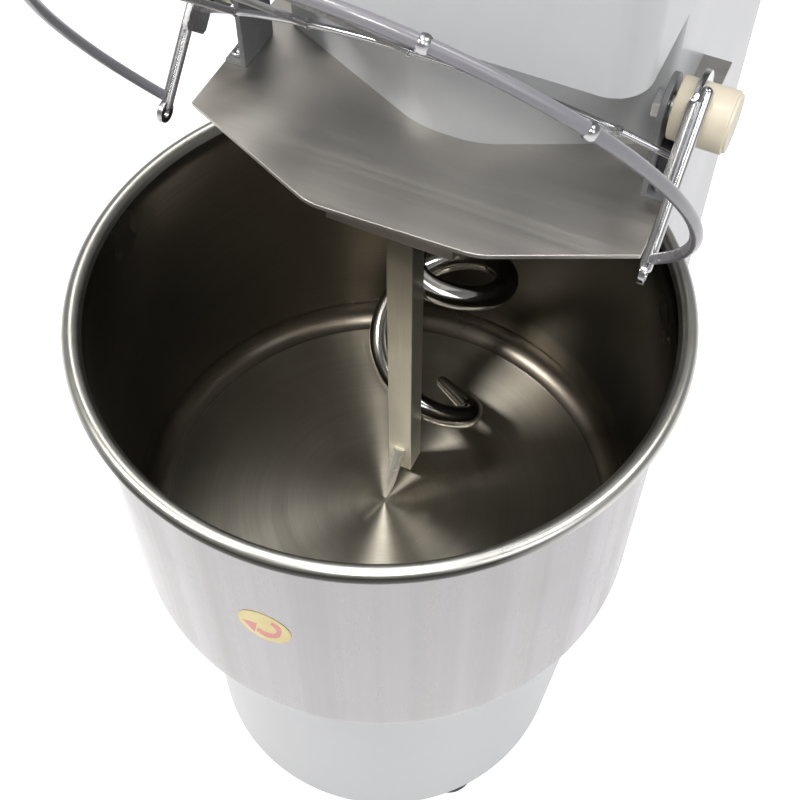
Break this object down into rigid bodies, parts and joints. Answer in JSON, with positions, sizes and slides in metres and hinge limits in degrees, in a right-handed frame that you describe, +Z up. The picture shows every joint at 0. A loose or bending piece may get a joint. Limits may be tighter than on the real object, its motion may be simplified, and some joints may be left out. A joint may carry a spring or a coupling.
{
  "type": "spiral dough mixer",
  "caption": "Floor-standing spiral dough mixer: round steel bowl, coiled hook, square breaker bar, splash plate and lifting ring guard on a narrow column.",
  "frame": {"origin": "floor level, at the middle of the machine's overall width and depth; the bowl's axis is at y = -0.159 m", "axes": "+Z up, -Y towards the person loading the bowl, +X to that person's right"},
  "size_m": [0.4239, 0.742, 0.9226],
  "materials": {
    "casing_paint": "satin",
    "frame_steel": "matte",
    "satin_stainless": "satin",
    "bar_stainless": "brushed",
    "polished_stainless": "polished",
    "bowl_stainless": "brushed inside, polished outside",
    "machined_steel": "machined",
    "cast_iron": "cast",
    "sprocket_steel": "oiled",
    "belt_rubber": "matte",
    "motor_paint": "satin",
    "guard_chrome": "polished",
    "cream_plastic": "moulded",
    "black_plastic": "moulded",
    "panel_plastic": "fine texture",
    "green_plastic": "gloss",
    "red_plastic": "gloss",
    "label_film": "printed film"
  },
  "bodies": {
    "chassis": {"bottom_plate": "frame_steel", "main_frame": "frame_steel", "base_cover": "casing_paint", "column_casing": "casing_paint", "rear_cover": "casing_paint", "head_casing": "casing_paint", "head_lid": "casing_paint", "levelling_feet": "machined_steel", "foot_pads": "belt_rubber", "splash_plate": "satin_stainless", "nose_bracket": "satin_stainless", "breaker_bar": "bar_stainless", "breaker_finger": "bar_stainless", "bracket_bolts": "machined_steel", "hook_column_tube": "cast_iron", "hook_bearings": "machined_steel", "jackshaft_bearings": "cast_iron", "motor": "motor_paint", "motor_mount": "frame_steel", "countershaft_bearings": "cast_iron", "bowl_bearings": "machined_steel", "bowl_bearing_housing": "cast_iron", "guard_brackets": "frame_steel", "guard_pivot_pins": "machined_steel", "guard_switch": "black_plastic", "control_panel": "panel_plastic", "cover_screws": "machined_steel", "power_cord": "black_plastic", "hook_belts": "belt_rubber", "motor_belts": "belt_rubber", "first_chain": "sprocket_steel", "bowl_chain": "sprocket_steel"},
    "hook_spindle": {"hook_shaft": "machined_steel", "hook_flange": "polished_stainless", "spiral_hook": "polished_stainless", "hook_pulley": "cast_iron"},
    "upright_shaft": {"jackshaft": "machined_steel", "jackshaft_top_pulley": "cast_iron", "jackshaft_big_pulley": "cast_iron", "jackshaft_sprocket": "sprocket_steel"},
    "motor_spindle": {"motor_rotor": "machined_steel", "motor_pulley": "cast_iron"},
    "idler_shaft": {"countershaft": "machined_steel", "countershaft_sprockets": "sprocket_steel"},
    "bowl_unit": {"bowl": "bowl_stainless", "bowl_hub": "cast_iron", "bowl_shaft": "machined_steel", "bowl_sprocket": "sprocket_steel", "bowl_bolts": "machined_steel", "rotation_label": "label_film"},
    "guard": {"guard_ring": "guard_chrome", "guard_wires": "guard_chrome", "guard_hubs": "cream_plastic"},
    "start_key": {"start_button": "green_plastic"},
    "stop_key": {"stop_button": "red_plastic"},
    "estop_plunger": {"estop_stem": "black_plastic"},
    "estop_head": {"estop_button": "red_plastic"},
    "timer_dial": {"timer_knob": "black_plastic"},
    "speed_dial": {"speed_knob": "black_plastic"},
    "mains_handle": {"main_switch": "red_plastic"}
  },
  "joints": [
    {"name": "jackshaft_spin", "type": "hinge", "parent": "chassis", "child": "upright_shaft", "pos_m": [0, 0.171, 0.45], "axis": [0, 0, -1], "continuous": true},
    {"name": "hook_spin", "type": "hinge", "parent": "chassis", "child": "hook_spindle", "pos_m": [0, -0.049, 0.6], "axis": [0, 0, -1], "continuous": true},
    {"name": "bowl_spin", "type": "hinge", "parent": "chassis", "child": "bowl_unit", "pos_m": [0, -0.159, 0.25], "axis": [0, 0, -1], "continuous": true},
    {"name": "countershaft_spin", "type": "hinge", "parent": "chassis", "child": "idler_shaft", "pos_m": [0, 0.013, 0.2], "axis": [0, 0, -1], "continuous": true},
    {"name": "motor_spin", "type": "hinge", "parent": "chassis", "child": "motor_spindle", "pos_m": [0.062, 0.273, 0.45], "axis": [0, 0, -1], "continuous": true},
    {"name": "guard_hinge", "type": "hinge", "parent": "chassis", "child": "guard", "pos_m": [0, -0.053, 0.715], "axis": [1, 0, 0], "range_deg": [0, 59]},
    {"name": "start_press", "type": "slide", "parent": "chassis", "child": "start_key", "axis": [-1, 0, 0], "range_m": [0, 0.003]},
    {"name": "stop_press", "type": "slide", "parent": "chassis", "child": "stop_key", "axis": [-1, 0, 0], "range_m": [0, 0.003]},
    {"name": "estop_press", "type": "slide", "parent": "chassis", "child": "estop_plunger", "axis": [-1, 0, 0], "range_m": [0, 0.005]},
    {"name": "estop_twist", "type": "hinge", "parent": "estop_plunger", "child": "estop_head", "pos_m": [0.16, 0.171, 0.835], "axis": [-1, 0, 0], "range_deg": [0, 30]},
    {"name": "timer_turn", "type": "hinge", "parent": "chassis", "child": "timer_dial", "pos_m": [0.145, 0.226, 0.845], "axis": [-1, 0, 0], "range_deg": [0, 300]},
    {"name": "speed_turn", "type": "hinge", "parent": "chassis", "child": "speed_dial", "pos_m": [0.145, 0.226, 0.8], "axis": [-1, 0, 0], "range_deg": [0, 90]},
    {"name": "mains_turn", "type": "hinge", "parent": "chassis", "child": "mains_handle", "pos_m": [0.14, 0.131, 0.27], "axis": [-1, 0, 0], "range_deg": [0, 90]}
  ],
  "couplings": [
    {"joint": "hook_spin", "follows": "jackshaft_spin", "ratio": 0.5},
    {"joint": "countershaft_spin", "follows": "jackshaft_spin", "ratio": 0.24444},
    {"joint": "bowl_spin", "follows": "jackshaft_spin", "ratio": 0.067222},
    {"joint": "motor_spin", "follows": "jackshaft_spin", "ratio": 3.52}
  ]
}
